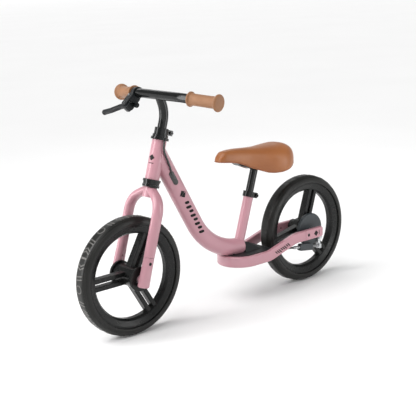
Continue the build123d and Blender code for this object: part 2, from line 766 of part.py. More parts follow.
def pivot_plane(y):
    return Plane(origin=(LEVER_PIVOT, y, 0), z_dir=(0, 1, 0))


def lever_bracket():
    """Slim clamp round the bar, a chunky body below it and the boss that takes the cable."""
    clamp = rod(Plane.XY.offset(-7), BAR_R + 3.0, 14)
    arm = Pos(26, 0, 0) * Box(36, 26, 24)
    arm = fillet(arm.edges().filter_by(Axis.Y), 5.0)
    arm = fillet(arm.edges().filter_by(Axis.X), 3.0)
    boss = Plane(origin=(28, -6, -8), z_dir=(0.15, 0, -1)) * Cylinder(6.5, 24, align=(Align.CENTER, Align.CENTER, Align.MIN))
    body = clamp + arm + boss
    body -= Pos(LEVER_PIVOT + 6, 0, 0) * Box(30, LEVER_SLOT, 80)
    body -= rod(Plane.XY.offset(-30), BAR_R, 60)
    body -= rod(pivot_plane(-20), 2.0, 40)
    return lever_plane() * body


def lever_pin():
    return lever_plane() * rod(pivot_plane(-13), 2.0, 26)


def lever_clamp_bolt():
    """Socket screw on the front of the clamp."""
    plane = Plane(origin=(17, 13, 0), z_dir=(0, 1, 0))
    head = rod(plane, 3.4, 2.6) - hexagon(plane.offset(1.0), 3.0, 2.0)
    return lever_plane() * head


def brake_lever():
    """Thick curved blade with a wide round root on the pivot, a heel behind it and a ball end."""
    root = rod(pivot_plane(-LEVER_ROOT / 2), 8.0, LEVER_ROOT)
    heel = Pos(LEVER_PIVOT + 4, 0, -8) * Box(20, LEVER_ROOT, 26)
    heel = fillet(heel.edges().filter_by(Axis.Y), 8.0)
    x, y, z = LEVER_TIP
    points = [(LEVER_PIVOT + 3, 0, 0), (LEVER_PIVOT + 5, 1, 26), (x - 9, y - 2, 52), (x, y, z - 6)]
    path = FilletPolyline(points, radius=32.0)
    start = Plane(origin=path @ 0, x_dir=(0, 1, 0), z_dir=path % 0)
    blade = sweep(start * RectangleRounded(12.5, 11.5, 4.6), path)
    tip = Pos(x, y, z - 6) * Sphere(7.0)
    body = blade + root + heel + tip
    return lever_plane() * (body - rod(pivot_plane(-20), 2.0 + SLIDE_FIT, 40))


# ---------------------------------------------------------------- build

def main():
    os.makedirs("parts", exist_ok=True)
    save("frame", frame())
    save("rear_stay_loop", rear_stay_loop())
    save("footrest", footrest())
    save("footrest_screw", footrest_screw())
    save("cable_grommet", cable_grommet())
    save("brake_cable", brake_cable())
    save("seat_clamp", seat_clamp())
    save("seat_clamp_bolt", clamp_bolt(seat_plane(SEAT_TUBE_LEN - 10), -19.0, 7.0, 8.0))
    save("seat_post", seat_post())
    save("saddle", saddle())
    save("saddle_pan", saddle_pan())
    save("saddle_clamp", saddle_clamp())

    save("lower_cup", lower_cup())
    save("crown_race", crown_race())
    save("upper_cup", upper_cup())
    save("upper_race", upper_race())
    save("stem_clamp", stem_clamp())
    save("stem_clamp_bolt", clamp_bolt(steer_plane(HEAD_LEN + 12.3), -22.5, 8.0, 8.5))
    save("fork", fork())

    save("handlebar", handlebar())
    save("handlebar_post", handlebar_post())
    save("brake_lever_bracket", lever_bracket())
    save("lever_pin", lever_pin())
    save("lever_clamp_bolt", lever_clamp_bolt())
    save("brake_lever", brake_lever())

    save("front_wheel", front_wheel())
    save("front_tyre", tyre(FRONT_HUB))
    save("front_axle", axle(FRONT_HUB, COVER_Y + 5.0))
    save("rear_wheel", rear_wheel())
    save("rear_tyre", tyre(REAR_HUB))
    save("rear_axle", axle(REAR_HUB, STAY_PLATE_OUT + 5.0))

    save("brake_drum", brake_drum())
    save("brake_band", brake_band())
    save("brake_cover", brake_cover())
    save("brake_anchor", brake_anchor())
    save("cable_adjuster", cable_adjuster())
    save("return_spring", return_spring())
    save("inner_wire", inner_wire())
    save("brake_arm", brake_arm())
    save("arm_pivot_bolt", arm_pivot_bolt())

    for name, side in (("left", 1), ("right", -1)):
        left_grip = grip()
        save("grip_" + name, left_grip if side > 0 else mirrored(left_grip))
        save("fork_cover_" + name, fork_cover(side))
        screw = steer(LEG_SEAM - 14, LEG_FORWARD, 0)
        save("fork_screw_" + name, cover_screw(screw.X, screw.Z, LEG_Y + LEG_B, side, 12.0))
        save("stay_cover_" + name, stay_cover(side))
        save("stay_screw_" + name, cover_screw(STAY_COVER_X - 12, STAY_REAR_Z, STAY_OUT, side, 8.0))
        save("front_nut_" + name, axle_nut(FRONT_HUB, side, COVER_Y))
        save("rear_nut_" + name, axle_nut(REAR_HUB, side, STAY_PLATE_OUT))
        y0, y1 = sorted((side * (FRONT_HUB_HALF - BEARING_W), side * FRONT_HUB_HALF))
        save("front_bearing_" + name, bearing(FRONT_HUB, y0, y1))
    save("rear_bearing_left", bearing(REAR_HUB, 3.0, 10.0))
    save("rear_bearing_right", bearing(REAR_HUB, -REAR_HUB_HALF, BEARING_W - REAR_HUB_HALF))
    save("rear_spacer", spacer(REAR_HUB, 10.3, STAY_IN))


main()
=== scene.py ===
import json
import math

import bpy
from mathutils import Matrix, Vector
from mathutils.bvhtree import BVHTree


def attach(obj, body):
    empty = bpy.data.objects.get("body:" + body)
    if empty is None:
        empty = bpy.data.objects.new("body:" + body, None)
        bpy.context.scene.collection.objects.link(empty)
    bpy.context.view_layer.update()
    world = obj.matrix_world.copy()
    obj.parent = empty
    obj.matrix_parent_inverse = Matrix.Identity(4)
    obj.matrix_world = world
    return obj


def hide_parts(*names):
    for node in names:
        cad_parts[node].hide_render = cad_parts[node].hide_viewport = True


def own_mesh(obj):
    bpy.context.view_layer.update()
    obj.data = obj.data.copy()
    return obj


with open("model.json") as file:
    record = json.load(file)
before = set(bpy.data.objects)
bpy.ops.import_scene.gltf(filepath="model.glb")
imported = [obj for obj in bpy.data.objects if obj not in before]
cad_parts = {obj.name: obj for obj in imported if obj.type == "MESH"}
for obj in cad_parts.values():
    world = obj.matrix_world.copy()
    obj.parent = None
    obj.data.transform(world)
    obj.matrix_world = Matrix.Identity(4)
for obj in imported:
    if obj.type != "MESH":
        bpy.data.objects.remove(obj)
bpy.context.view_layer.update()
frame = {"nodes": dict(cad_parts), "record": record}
MM = 0.001


def placed(name, data):
    """New object of that data, in the scene."""
    new = bpy.data.objects.new(name, data)
    bpy.context.scene.collection.objects.link(new)
    return new


# ---------------------------------------------------------------- camera and lights

def make_camera():
    """Camera of the main view. Gives the level direction to its right and the way back to it."""
    azimuth, elevation, roll = (math.radians(a) for a in (50.02, 13.79, -2.35))
    distance, target = 2.44012, Vector((0.04078, 0.0, 0.25707))
    flat = math.cos(elevation)
    back = Vector((math.cos(azimuth) * flat, math.sin(azimuth) * flat, math.sin(elevation)))
    level = (-back).cross(Vector((0, 0, 1))).normalized()
    over = level.cross(-back)
    right = level * math.cos(roll) + over * math.sin(roll)
    up = over * math.cos(roll) - level * math.sin(roll)
    camera = placed("camera", bpy.data.cameras.new("camera"))
    camera.data.lens = 86.32
    camera.data.sensor_width = 36.0
    turned = Matrix((right, up, back)).transposed().to_4x4()
    camera.matrix_world = Matrix.Translation(target + back * distance) @ turned
    bpy.context.scene.camera = camera
    return level, back


def add_light(name, kind, place, aim, power):
    holder = placed(name, bpy.data.lights.new(name, kind))
    holder.data.energy = power
    holder.location = place
    holder.rotation_euler = (aim - place).to_track_quat("-Z", "Y").to_euler()
    return holder


def area_light(name, place, aim, size, power):
    holder = add_light(name, "AREA", place, aim, power)
    holder.data.shape = "RECTANGLE"
    holder.data.size, holder.data.size_y = size
    holder.visible_camera = False


def sun_light(place, aim, spread, power):
    holder = add_light("key", "SUN", place, aim, power)
    holder.data.angle = math.radians(spread)


def make_lights(level, back):
    """A wide soft sun over the camera's left shoulder, a strip on each side and a rim light from behind."""
    world = bpy.data.worlds.new("studio")
    bpy.context.scene.world = world
    world.use_nodes = True
    world.node_tree.nodes["Background"].inputs["Color"].default_value = (1, 1, 1, 1)
    world.node_tree.nodes["Background"].inputs["Strength"].default_value = 0.25
    centre, middle = Vector((0, 0, 0.2)), Vector((0, 0, 0.62))
    sun_light(centre - level * 1.5 + back * 1.1 + Vector((0, 0, 2.6)), centre, 60.0, 2.72)
    area_light("strip_left", middle - level * 1.03 + back * 0.42, middle, (0.30, 1.2), 6.5)
    area_light("strip_right", middle + level * 1.03 + back * 0.42, middle, (0.22, 1.2), 4.5)
    area_light("rim", centre - level * 0.4 - back * 1.8 + Vector((0, 0, 1.7)), centre, (1.6, 0.6), 4)


# ---------------------------------------------------------------- materials

class Look:
    """A material and its texture nodes, which read the piece's own coordinates in metres."""

    def __init__(self, name, roughness=0.5, metallic=0.0, coat=0.0, coat_roughness=0.1, sheen=0.0, ior=1.5):
        self.material = bpy.data.materials.new(name)
        self.material.use_nodes = True
        self.tree = self.material.node_tree
        self.shader = self.tree.nodes["Principled BSDF"]
        values = {"Roughness": roughness, "Metallic": metallic, "Coat Weight": coat,
                  "Coat Roughness": coat_roughness, "Sheen Weight": sheen, "IOR": ior}
        for socket, value in values.items():
            self.shader.inputs[socket].default_value = value
        self.place = self.add("ShaderNodeTexCoord").outputs["Object"]
        self.heights = []

    def add(self, kind, **settings):
        node = self.tree.nodes.new(kind)
        for key, value in settings.items():
            setattr(node, key, value)
        return node

    def link(self, source, target):
        self.tree.links.new(source, target)

    def noise(self, scale, detail=3.0, stretch=None):
        node = self.add("ShaderNodeTexNoise")
        node.inputs["Scale"].default_value = scale
        node.inputs["Detail"].default_value = detail
        self.link(self.stretched(stretch) if stretch else self.place, node.inputs["Vector"])
        return node.outputs["Fac"]

    def stretched(self, factors):
        node = self.add("ShaderNodeMapping")
        node.inputs["Scale"].default_value = factors
        self.link(self.place, node.inputs["Vector"])
        return node.outputs["Vector"]

    def cells(self, scale):
        node = self.add("ShaderNodeTexVoronoi", feature="DISTANCE_TO_EDGE")
        node.inputs["Scale"].default_value = scale
        self.link(self.place, node.inputs["Vector"])
        return node.outputs["Distance"]

    def range(self, value, low, high, start=0.3, end=0.7):
        node = self.add("ShaderNodeMapRange")
        for socket, number in (("From Min", start), ("From Max", end), ("To Min", low), ("To Max", high)):
            node.inputs[socket].default_value = number
        self.link(value, node.inputs["Value"])
        return node.outputs["Result"]

    def ramp(self, value, stops):
        node = self.add("ShaderNodeValToRGB")
        while len(node.color_ramp.elements) < len(stops):
            node.color_ramp.elements.new(0.5)
        for element, (position, colour) in zip(node.color_ramp.elements, stops):
            element.position = position
            element.color = (*colour, 1)
        self.link(value, node.inputs["Fac"])
        return node.outputs["Color"]

    def colour(self, value, stops):
        self.link(self.ramp(value, stops), self.shader.inputs["Base Color"])

    def radius_from(self, hub):
        """Distance from a wheel's axle, for rings that run round its sides."""
        split = self.add("ShaderNodeSeparateXYZ")
        self.link(self.place, split.inputs["Vector"])
        squares = []
        for axis, centre in (("X", hub[0]), ("Z", hub[2])):
            less = self.add("ShaderNodeMath", operation="SUBTRACT")
            self.link(split.outputs[axis], less.inputs[0])
            less.inputs[1].default_value = centre
            square = self.add("ShaderNodeMath", operation="MULTIPLY")
            self.link(less.outputs[0], square.inputs[0])
            self.link(less.outputs[0], square.inputs[1])
            squares.append(square.outputs[0])
        total = self.add("ShaderNodeMath", operation="ADD")
        self.link(squares[0], total.inputs[0])
        self.link(squares[1], total.inputs[1])
        root = self.add("ShaderNodeMath", operation="SQRT")
        self.link(total.outputs[0], root.inputs[0])
        return root.outputs[0]

    def rings(self, hub, pitch):
        wave = self.add("ShaderNodeMath", operation="PINGPONG")
        self.link(self.radius_from(hub), wave.inputs[0])
        wave.inputs[1].default_value = pitch / 2
        return self.range(wave.outputs[0], 0.0, 1.0, 0.0, pitch / 2)

    def uneven(self, value, low, high):
        self.link(self.range(value, low, high), self.shader.inputs["Roughness"])

    def bump(self, value, distance, strength=1.0):
        self.heights.append((value, distance, strength))

    def done(self, edge=0.0):
        """Chains the bumps, on top of an edge rounding of that radius in metres."""
        normal = None
        if edge:
            bevel = self.add("ShaderNodeBevel", samples=4)
            bevel.inputs["Radius"].default_value = edge
            normal = bevel.outputs["Normal"]
        for value, distance, strength in self.heights:
            node = self.add("ShaderNodeBump")
            node.inputs["Distance"].default_value = distance
            node.inputs["Strength"].default_value = strength
            self.link(value, node.inputs["Height"])
            if normal:
                self.link(normal, node.inputs["Normal"])
            normal = node.outputs["Normal"]
        if normal:
            self.link(normal, self.shader.inputs["Normal"])
        return self.material


FRONT_HUB = Vector((0.2855, 0.0, 0.142))
REAR_HUB = Vector((-0.2855, 0.0, 0.142))


def paint_look():
    look = Look("pink_paint", roughness=0.3, coat=0.4, coat_roughness=0.12)
    look.colour(look.noise(4.0, 1.0), [(0.3, (0.462, 0.228, 0.268)), (0.7, (0.484, 0.244, 0.285))])
    look.uneven(look.noise(60.0), 0.275, 0.305)
    look.bump(look.noise(700.0, 2.0), 0.00002, 0.4)
    return look.done(edge=0.0009)


def gloss_black_look():
    look = Look("gloss_black", roughness=0.16, ior=1.45)
    look.colour(look.noise(30.0), [(0.3, (0.0025, 0.003, 0.003)), (0.7, (0.006, 0.0065, 0.0065))])
    look.uneven(look.noise(120.0), 0.11, 0.19)
    look.bump(look.noise(300.0, 1.0), 0.00001, 0.3)
    return look.done(edge=0.0007)


def black_plastic_look(name="black_plastic", dark=(0.0035, 0.004, 0.004), light=(0.008, 0.0085, 0.008),
                       rough=(0.24, 0.36)):
    look = Look(name, roughness=0.3, ior=1.36)
    look.colour(look.noise(25.0), [(0.3, dark), (0.7, light)])
    look.uneven(look.noise(80.0), *rough)
    look.bump(look.cells(1400.0), 0.00003, 0.5)
    look.bump(look.noise(220.0), 0.00008, 0.4)
    return look.done(edge=0.0011)


def footrest_look():
    look = Look("footrest_plastic", roughness=0.4, ior=1.4)
    look.colour(look.noise(40.0), [(0.3, (0.008, 0.009, 0.010)), (0.7, (0.017, 0.019, 0.020))])
    look.uneven(look.noise(150.0), 0.34, 0.46)
    look.bump(look.cells(900.0), 0.00010, 0.5)
    return look.done(edge=0.001)


def grey_plastic_look():
    look = Look("grey_plastic", roughness=0.42)
    look.colour(look.noise(35.0), [(0.3, (0.024, 0.031, 0.035)), (0.7, (0.036, 0.044, 0.049))])
    look.uneven(look.noise(90.0), 0.34, 0.52)
    look.bump(look.cells(1200.0), 0.00004, 0.5)
    return look.done(edge=0.0008)


def tyre_look(name, hub):
    look = Look(name, roughness=0.4, ior=1.38)
    shades = [(0.25, (0.006, 0.006, 0.005)), (0.55, (0.010, 0.010, 0.009)), (0.8, (0.015, 0.015, 0.014))]
    look.colour(look.noise(18.0, 5.0), shades)
    look.uneven(look.noise(45.0), 0.30, 0.44)
    look.bump(look.noise(300.0), 0.00006, 0.5)
    look.bump(look.rings(hub, 0.0016), 0.00005, 0.6)
    return look.done()


def tread_mark_highlight_look():
    look = Look("tread_mark", roughness=0.42)
    # Painted highlight: the raised marks are coloured light grey, far lighter than the tyre's rubber, to
    # stand in for the light they catch.
    look.colour(look.noise(60.0), [(0.3, (0.070, 0.068, 0.064)), (0.7, (0.135, 0.130, 0.122))])
    look.uneven(look.noise(90.0), 0.36, 0.5)
    look.bump(look.noise(700.0), 0.00005, 0.5)
    return look.done()


def saddle_look():
    look = Look("saddle_vinyl", roughness=0.42, coat=0.06, coat_roughness=0.4, sheen=0.08)
    shades = [(0.25, (0.262, 0.082, 0.018)), (0.55, (0.308, 0.104, 0.026)), (0.8, (0.350, 0.126, 0.035))]
    look.colour(look.noise(14.0, 5.0), shades)
    look.uneven(look.noise(60.0), 0.36, 0.5)
    look.bump(look.cells(620.0), 0.00012, 0.45)
    look.bump(look.noise(90.0, 4.0), 0.00025, 0.3)
    return look.done()


def piping_look():
    look = Look("saddle_piping", roughness=0.5)
    look.colour(look.noise(80.0), [(0.3, (0.225, 0.070, 0.022)), (0.7, (0.300, 0.098, 0.033))])
    look.uneven(look.noise(120.0), 0.42, 0.58)
    look.bump(look.cells(900.0), 0.00010, 0.5)
    return look.done()


def grip_look():
    look = Look("grip_rubber", roughness=0.55, sheen=0.1)
    look.colour(look.noise(35.0, 4.0), [(0.3, (0.235, 0.103, 0.040)), (0.7, (0.300, 0.138, 0.060))])
    look.uneven(look.noise(110.0), 0.5, 0.64)
    look.bump(look.cells(800.0), 0.00014, 0.6)
    return look.done()


def steel_look():
    look = Look("bright_steel", roughness=0.3, metallic=1.0)
    look.colour(look.noise(90.0), [(0.3, (0.42, 0.43, 0.44)), (0.7, (0.62, 0.63, 0.64))])
    look.uneven(look.noise(260.0, 2.0, (1, 6, 1)), 0.2, 0.42)
    look.bump(look.noise(900.0), 0.00003, 0.5)
    return look.done(edge=0.0003)


def cable_look():
    look = Look("cable_sheath", roughness=0.28, coat=0.3)
    look.colour(look.noise(50.0), [(0.3, (0.008, 0.008, 0.008)), (0.7, (0.015, 0.015, 0.015))])
    look.uneven(look.noise(150.0), 0.22, 0.36)
    look.bump(look.noise(600.0), 0.00004, 0.4)
    return look.done()


def print_look():
    look = Look("printed_black", roughness=0.4, ior=1.3)
    look.colour(look.noise(200.0), [(0.3, (0.002, 0.002, 0.002)), (0.7, (0.006, 0.005, 0.005))])
    look.uneven(look.noise(200.0), 0.36, 0.48)
    return look.done()


def floor_look():
    look = Look("floor", roughness=0.9)
    look.colour(look.noise(1.2), [(0.3, (0.93, 0.93, 0.93)), (0.7, (0.95, 0.95, 0.95))])
    look.uneven(look.noise(4.0), 0.85, 0.95)
    return look.done()


def wall_look():
    """Far white backdrop that gives its own even light."""
    look = Look("wall", roughness=0.9)
    look.colour(look.noise(0.2), [(0.3, (0.01, 0.01, 0.01)), (0.7, (0.02, 0.02, 0.02))])
    look.shader.inputs["Emission Color"].default_value = (1, 1, 1, 1)
    look.shader.inputs["Emission Strength"].default_value = 0.97
    return look.done()


# ---------------------------------------------------------------- mesh helpers

def mesh_object(name, points, faces, material):
    mesh = bpy.data.meshes.new(name)
    mesh.from_pydata([tuple(p) for p in points], [], faces)
    mesh.update()
    mesh.materials.append(material)
    return placed(name, mesh)


def mesh_piece(name, points, faces, material, body, replaces=()):
    """Smooth mesh that rides on a body."""
    piece = mesh_object(name, points, faces, material)
    piece.data.polygons.foreach_set("use_smooth", [True] * len(piece.data.polygons))
    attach(piece, body)
    if replaces:
        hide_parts(*replaces)
    return piece


def lattice(rows, across_closed, along_closed=False):
    """Points and quad faces of a grid of rings."""
    count = len(rows[0])
    points = [p for row in rows for p in row]
    faces = []
    spans = len(rows) if along_closed else len(rows) - 1
    for i in range(spans):
        j = (i + 1) % len(rows)
        for k in range(count if across_closed else count - 1):
            m = (k + 1) % count
            faces.append((i * count + k, i * count + m, j * count + m, j * count + k))
    return points, faces


def joined(grids):
    """One list of points and one of faces from several grids."""
    points, faces = [], []
    for new_points, new_faces in grids:
        faces += [tuple(i + len(points) for i in face) for face in new_faces]
        points += new_points
    return points, faces


def spun(profile, place, segments, closed=False):
    """Profile of (radius, height) turned about the local z axis of a matrix."""
    rows = []
    for i in range(segments):
        turn = 2 * math.pi * i / segments
        rows.append([place @ Vector((r * math.cos(turn), r * math.sin(turn), h)) for r, h in profile])
    return lattice(rows, closed, True)


def facing(origin, direction, forward=(1, 0, 0)):
    """Matrix at a point whose z axis is the direction and whose x axis is near forward."""
    z = Vector(direction).normalized()
    y = z.cross(Vector(forward)).normalized()
    x = y.cross(z)
    return Matrix.Translation(Vector(origin)) @ Matrix((x, y, z)).transposed().to_4x4()


def smooth_line(points, per_span):
    """Catmull-Rom line through the points."""
    first, last = points[0] * 2 - points[1], points[-1] * 2 - points[-2]
    ends = [first, *points, last]
    line = []
    for a, b, c, d in zip(ends, ends[1:], ends[2:], ends[3:]):
        for i in range(per_span):
            t = i / per_span
            square, cube = 2 * a - 5 * b + 4 * c - d, 3 * b - a - 3 * c + d
            line.append(0.5 * (2 * b + (c - a) * t + square * t**2 + cube * t**3))
    return line + [points[-1]]


def height_at(line, x):
    """Height of a side outline, a list of (x, z) with x going one way, at x."""
    ordered = sorted(line)
    if x <= ordered[0][0]:
        return ordered[0][1]
    for (x0, z0), (x1, z1) in zip(ordered, ordered[1:]):
        if x <= x1:
            t = (x - x0) / (x1 - x0)
            return z0 + (z1 - z0) * t
    return ordered[-1][1]


def tube_mesh(name, line, radius, sides, material, body, replaces=(), closed=False):
    """Round tube along a line of points, capped at its ends."""
    rows = []
    count = len(line)
    side = None
    for i, p in enumerate(line):
        before = line[i - 1] if i or closed else p
        after = line[(i + 1) % count] if i + 1 < count or closed else p
        along = (after - before).normalized()
        if side is None:
            side = along.cross(Vector((0.31, 0.52, 0.79))).normalized()
        side = (side - along * side.dot(along)).normalized()
        other = along.cross(side)
        rows.append([p + (side * math.cos(a) + other * math.sin(a)) * radius
                     for a in (2 * math.pi * k / sides for k in range(sides))])
    points, faces = lattice(rows, True, closed)
    if not closed:
        faces.append(tuple(reversed(range(sides))))
        faces.append(tuple(range((count - 1) * sides, count * sides)))
    return mesh_piece(name, points, faces, material, body, replaces)


# ---------------------------------------------------------------- tyres

# The section is a rounded rectangle. Its places are angles in degrees, 0 at the middle of the tread and 90
# half way down the side. A groove or bead line is (place, width, height), in degrees, degrees and metres.
TYRE_R, BEAD_R, BEAD_TUCK = 0.142, 0.1231, 0.0015
TYRE_FLAT, TYRE_CORNER, TYRE_MIDDLE = 0.0065, 0.014, 0.126
TYRE_STEP, STEP_SPAN = 0.002, 4.0
CROWN_END, SIDE, BEAD_END = 12.0, 90.0, 93.9
SKIN_DEPTH = 0.0005
GROOVES = [(44.0, 1.1, -0.0006), (64.0, 1.9, 0.0004), (69.5, 1.2, -0.0005), (88.3, 1.8, 0.0005)]
GROOVE_RINGS = (-2.2, -1.2, -0.5, 0, 0.5, 1.2, 2.2)
# A raised mark's section is (across, up) in widths and lifts. Marks are placed in metres round the tread
# and across it.
STRIP_SECTION = [(-0.56, -1.2), (-0.5, 0.55), (-0.38, 1.0), (0.0, 1.05), (0.38, 1.0), (0.5, 0.55),
                 (0.56, -1.2)]
STRIP_LIFT = 0.00047
TREAD_REPEATS, TREAD_REACH, TREAD_PAIR = 6, 0.0118, (0.0, 0.0078)
RING_R, RING_WIDTH, BAR_WIDTH, PAIR_WIDTH = 0.0092, 0.0026, 0.0042, 0.0028


def tyre_section(angle):
    """(radius, side, lean) of the tyre's skin at an angle, negative on the other side."""
    a = abs(angle)
    lift = sum(height * math.exp(-(((a - at) / width) ** 2)) for at, width, height in GROOVES) - SKIN_DEPTH
    flat = TYRE_FLAT * min(a / CROWN_END, 1.0)
    step = TYRE_STEP * max(min((SIDE - a) / STEP_SPAN, 1.0), -1.0)
    turn = max(a - CROWN_END, 0.0) * SIDE / (SIDE - CROWN_END) if a < SIDE else a
    lean = math.radians(turn)
    radius = TYRE_MIDDLE + step + (TYRE_CORNER + lift) * math.cos(lean)
    side = flat + (TYRE_CORNER + lift) * math.sin(lean)
    return radius, math.copysign(side, angle), math.copysign(lean, angle)


def tyre(name, hub, material, body):
    half = [0, 6, 12, 18, 24, 30, 36, 51, 56, 76, 81, BEAD_END]
    for at, width, _ in GROOVES:
        half += [at + k * width for k in GROOVE_RINGS]
    half = sorted(set(round(a, 3) for a in half))
    angles = [-a for a in reversed(half[1:])] + half
    profile = [tyre_section(a)[:2] for a in angles]
    tucked = profile[-1][1] - BEAD_TUCK
    inner = [(BEAD_R, tucked), (BEAD_R, -tucked)]
    place = facing(hub, (0, 1, 0))
    points, faces = spun(profile + inner, place, 200, True)
    mesh_piece(name, points, faces, material, body, [name.replace("_skin", "")])


def tread_point(hub, along, side, lift):
    """Point on the tread at a distance round the tyre and to its side, both in metres."""
    past = abs(side) - TYRE_FLAT
    if past <= 0:
        angle = abs(side) / TYRE_FLAT * CROWN_END
    else:
        angle = CROWN_END + math.degrees(math.asin(past / TYRE_CORNER)) * (SIDE - CROWN_END) / SIDE
    radius, y, lean = tyre_section(math.copysign(angle, side))
    turn = along / TYRE_R
    radius += lift * math.cos(lean)
    y += lift * math.sin(lean)
    return Vector((hub.x + radius * math.cos(turn), y, hub.z + radius * math.sin(turn)))


def raised_strip(hub, line, width):
    """Rounded bar that follows a line of (along, side) on the tread."""
    rows = []
    for i, (s, y) in enumerate(line):
        s0, y0 = line[max(i - 1, 0)]
        s1, y1 = line[min(i + 1, len(line) - 1)]
        run = math.hypot(s1 - s0, y1 - y0)
        ns, ny = -(y1 - y0) / run, (s1 - s0) / run
        taper = 0.35 if i in (0, len(line) - 1) else 1.0
        wide = width * taper
        rows.append([tread_point(hub, s + ns * w * wide, y + ny * w * wide, h * STRIP_LIFT)
                     for w, h in STRIP_SECTION])
    return lattice(rows, False)


def straight(s, lean=0.0, steps=9):
    """Bar across the tread, and how far its far end is ahead of its near one."""
    return [(s + lean * (t - 0.5), TREAD_REACH * (2 * t - 1)) for t in (i / steps for i in range(steps + 1))]


def round_line(s, radius, turns=26):
    angles = (2 * math.pi * i / turns for i in range(turns + 1))
    return [(s + radius * math.cos(a), radius * math.sin(a)) for a in angles]


def chevron(s, way=1):
    """Arrow across the tread, with its point toward -s, or toward +s when way is -1."""
    return [(s + way * TREAD_REACH * 0.55 * abs(t), TREAD_REACH * t) for t in (-1 + i / 5 for i in range(11))]


def tread_lines(s):
    """Lines of one repeat of the tread from s on, each with its width."""
    lines = [(round_line(s, RING_R), RING_WIDTH), (straight(s + 0.0735), BAR_WIDTH)]
    for k in TREAD_PAIR:
        pairs = [straight(s + 0.0225 + k, 0.004), chevron(s + 0.046 + k),
                 chevron(s + 0.0905 + k, -1), straight(s + 0.111 + k, -0.004)]
        lines += [(line, PAIR_WIDTH) for line in pairs]
    return lines


def tread_marks(name, hub, material, body):
    """Plain raised rings, bars and chevrons, repeated round the tread."""
    length = 2 * math.pi * TYRE_R / TREAD_REPEATS
    lines = [row for repeat in range(TREAD_REPEATS) for row in tread_lines(repeat * length)]
    points, faces = joined(raised_strip(hub, line, width) for line, width in lines)
    mesh_piece(name, points, faces, material, body)


# ---------------------------------------------------------------- saddle

# Outlines in millimetres: (x, half width) from above, (x, z) along the top and along the lower edge.
SADDLE_PLAN = [(7, 0), (3, 12), (-14, 19), (-50, 23), (-85, 31), (-125, 46), (-155, 58), (-182, 62),
               (-208, 50), (-226, 26), (-232, 0)]
SADDLE_TOP = [(7, 368), (2, 380), (-9, 389.5), (-25, 391), (-50, 391), (-85, 388), (-120, 385.8),
              (-160, 386.2), (-195, 387.3), (-208, 384.5), (-218, 379.5), (-226, 372), (-232, 362)]
SADDLE_LOW = [(-232, 355), (-226, 348), (-218, 341), (-208, 334), (-198, 328), (-182, 323), (-165, 320),
              (-145, 319.8), (-128, 322), (-104, 331), (-82, 340), (-62, 349.5), (-45, 357), (-20, 361.5),
              (7, 365)]
PIPING_R = 0.0013


def saddle_line():
    """(x, half width) down the saddle's plan outline, in millimetres."""
    line = smooth_line([Vector((x, y, 0)) for x, y in SADDLE_PLAN], 5)
    return [(p.x, max(p.y, 0.0)) for p in line]


def saddle_ring(x, width):
    """Closed section of the cushion at x: crowned top, tucked lower edge and hollow underside."""
    top, low = height_at(SADDLE_TOP, x), height_at(SADDLE_LOW, x)
    deep = top - low
    bulge = low + 0.22 * deep
    lip = min(6.1, 0.4 * deep)
    ring = []
    for i in range(25):
        a = math.pi * i / 24
        c, s = math.cos(a), math.sin(a)
        y = width * math.copysign(abs(c) ** 0.82, c)
        z = bulge + (top - bulge) * s**0.80
        ring.append((y, z))
    under = [(0.985, low + 0.10 * deep), (0.95, low + 0.03 * deep), (0.90, low),
             (0.86, low + 0.15 * lip), (0.84, low + lip), (0.5, low + lip)]
    ring += [(-width * w, z) for w, z in under]
    ring.append((0.0, low + lip))
    ring += [(width * w, z) for w, z in reversed(under)]
    return [Vector((x, y, z)) * MM for y, z in ring]


def piping_point(x, width):
    """Point on the seam just above the cushion's lower edge."""
    top, low = height_at(SADDLE_TOP, x), height_at(SADDLE_LOW, x)
    return Vector((x, width * 0.955, low + 0.045 * (top - low) + 0.9)) * MM


def finer(piece):
    modifier = piece.modifiers.new("finer", "SUBSURF")
    modifier.levels = modifier.render_levels = 1


def saddle_cushion(material):
    rows = [saddle_ring(x, max(width, 0.6)) for x, width in saddle_line()]
    points, faces = lattice(rows, True)
    count = len(rows[0])
    faces.append(tuple(range(count)))
    faces.append(tuple(reversed(range((len(rows) - 1) * count, len(rows) * count))))
    cushion = mesh_piece("saddle_cushion", points, faces, material, "seat_body", ["saddle"])
    finer(cushion)


def saddle_piping(material):
    left = [piping_point(x, width) for x, width in saddle_line()]
    right = [Vector((p.x, -p.y, p.z)) for p in reversed(left[1:-1])]
    tube_mesh("saddle_piping", left + right, PIPING_R, 8, material, "seat_body", closed=True)


# ---------------------------------------------------------------- grips, spring and wire

BAR_CENTRE = Vector((0.1729, 0.0, 0.549))
BAR_HALF, BAR_FLAT, BAR_SWEEP, BAR_DROP = 0.185, 0.0728, 0.22, 0.07
# (radius, distance from the outer end) in millimetres: the knob, the sleeve and the rim at the inner end.
GRIP_PROFILE = [(0, 0), (8, 0.1), (13, 0.5), (16.5, 1.3), (18.6, 2.6), (19.7, 4.2), (19.95, 5.6), (19.6, 7.0),
                (18.5, 8.4), (16.8, 9.8), (15.3, 11.4), (14.4, 13.4), (14.0, 16), (13.85, 20), (13.7, 26),
                (13.6, 40), (13.6, 60), (13.65, 72), (13.8, 76), (14.4, 78.2), (15.8, 79.3), (17.0, 80.3),
                (17.45, 81.6), (17.45, 83.0), (16.9, 84.1), (15.8, 84.6), (11.15, 84.6)]


def grip(side, material, name):
    run = BAR_HALF - BAR_FLAT
    inner = BAR_CENTRE + Vector((0, side * BAR_FLAT, 0))
    outer = BAR_CENTRE + Vector((-BAR_SWEEP * run, side * (BAR_FLAT + run), -BAR_DROP * run))
    place = facing(outer, inner - outer)
    rings = [(r * MM, h * MM) for r, h in GRIP_PROFILE]
    points, faces = spun(rings, place, 64)
    finer(mesh_piece(name + "_sleeve", points, faces, material, "bar_body", [name]))


